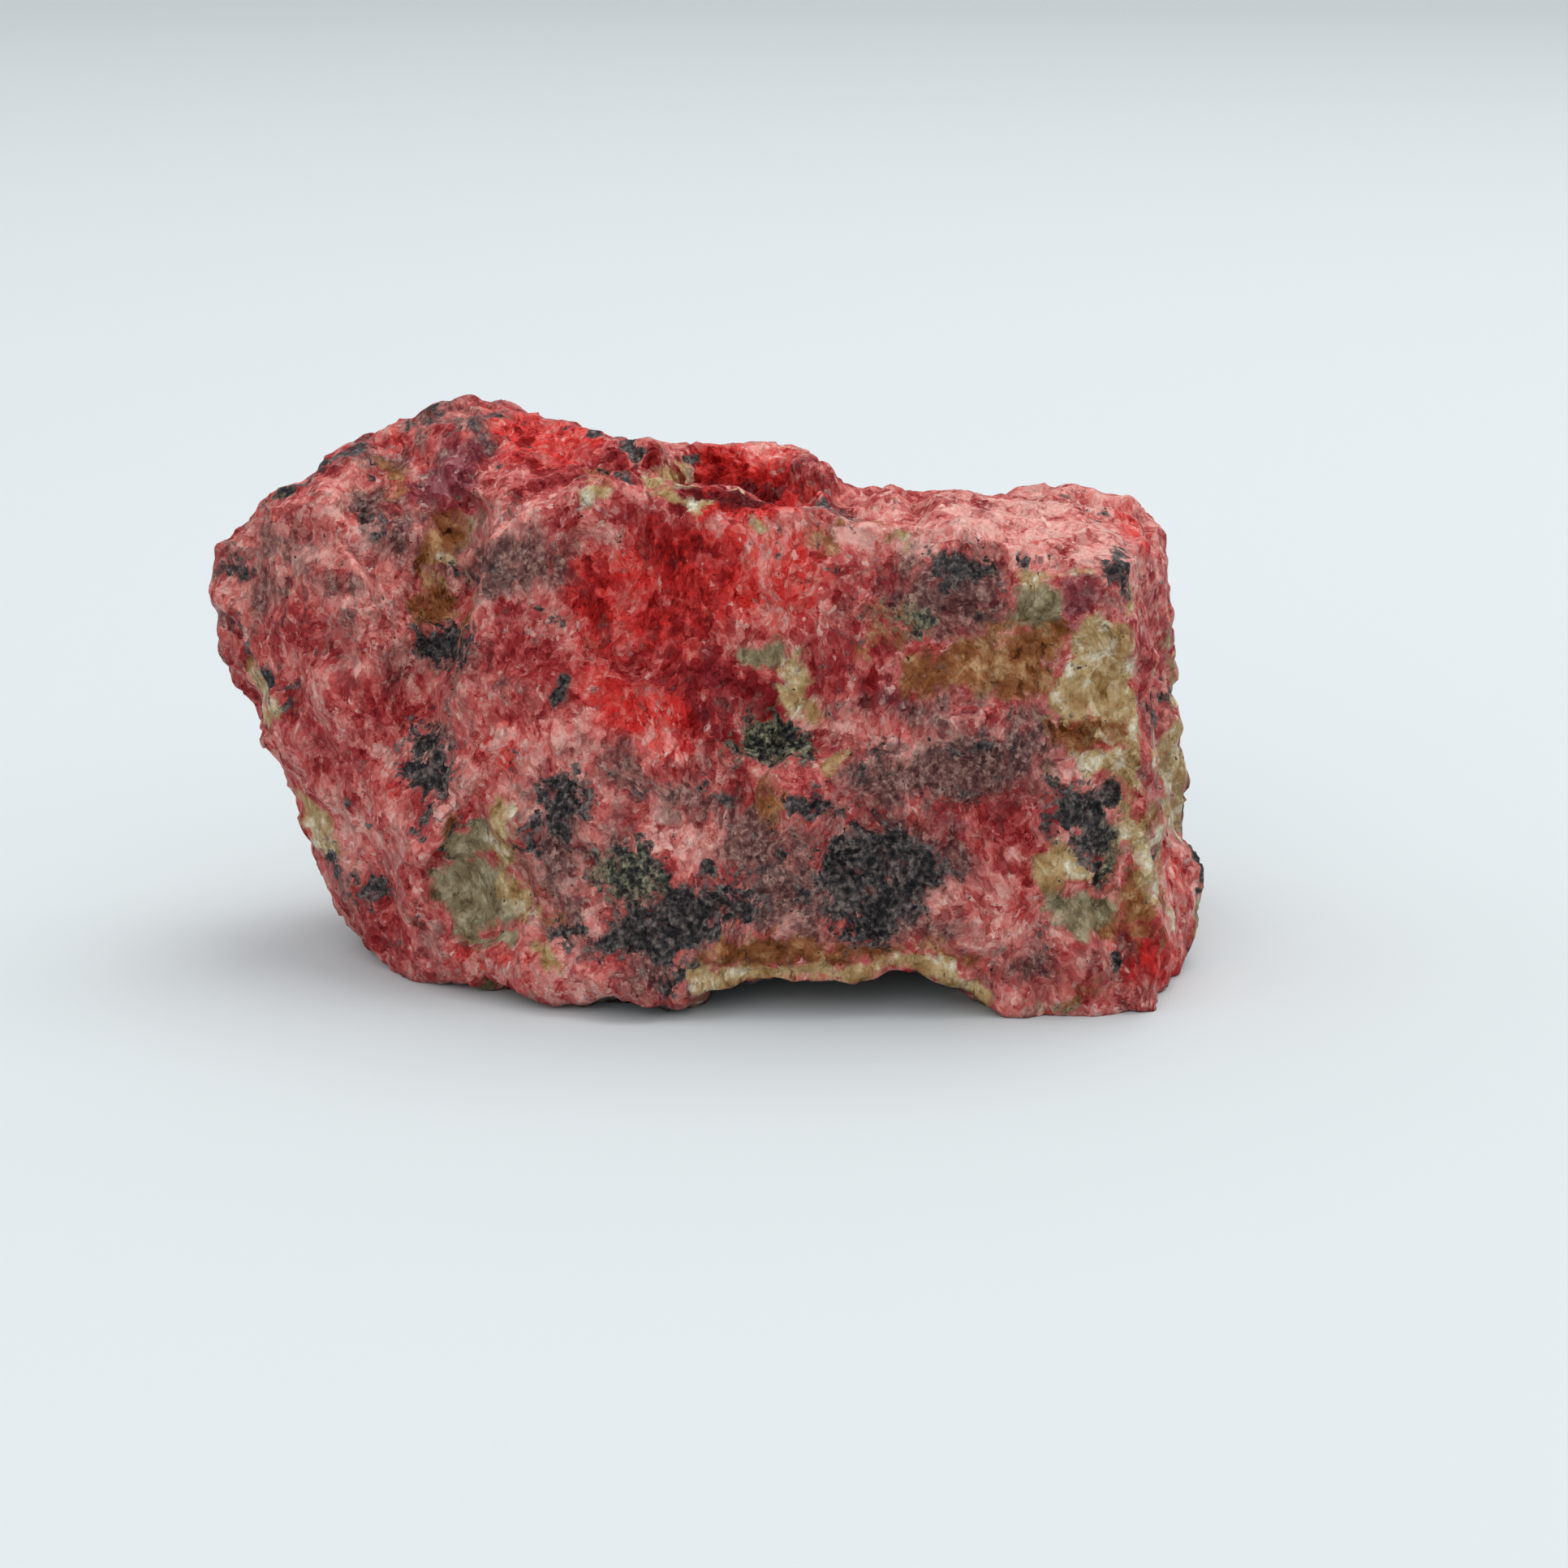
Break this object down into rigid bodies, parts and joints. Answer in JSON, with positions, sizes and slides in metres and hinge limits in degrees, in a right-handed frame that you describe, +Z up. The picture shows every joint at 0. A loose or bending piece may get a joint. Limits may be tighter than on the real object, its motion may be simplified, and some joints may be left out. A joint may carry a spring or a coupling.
{
  "type": "rhodonite specimen",
  "caption": "Rough broken lump of pink rhodonite with black manganese oxide and tan quartz, standing on its flattest side.",
  "frame": {"origin": "middle of the bounding box in plan, on the surface that the stone stands on", "axes": "+X along the stone's longest side, to the right as seen from the display face; +Y away from the display face; +Z up"},
  "size_m": [0.0764, 0.0406, 0.0417],
  "materials": {
    "rhodonite": "rough sugary fracture, pink to deep red, with speckled black oxide patches and glassy tan quartz"
  },
  "bodies": {
    "root": {"rhodonite_stone": "rhodonite"}
  },
  "joints": []
}
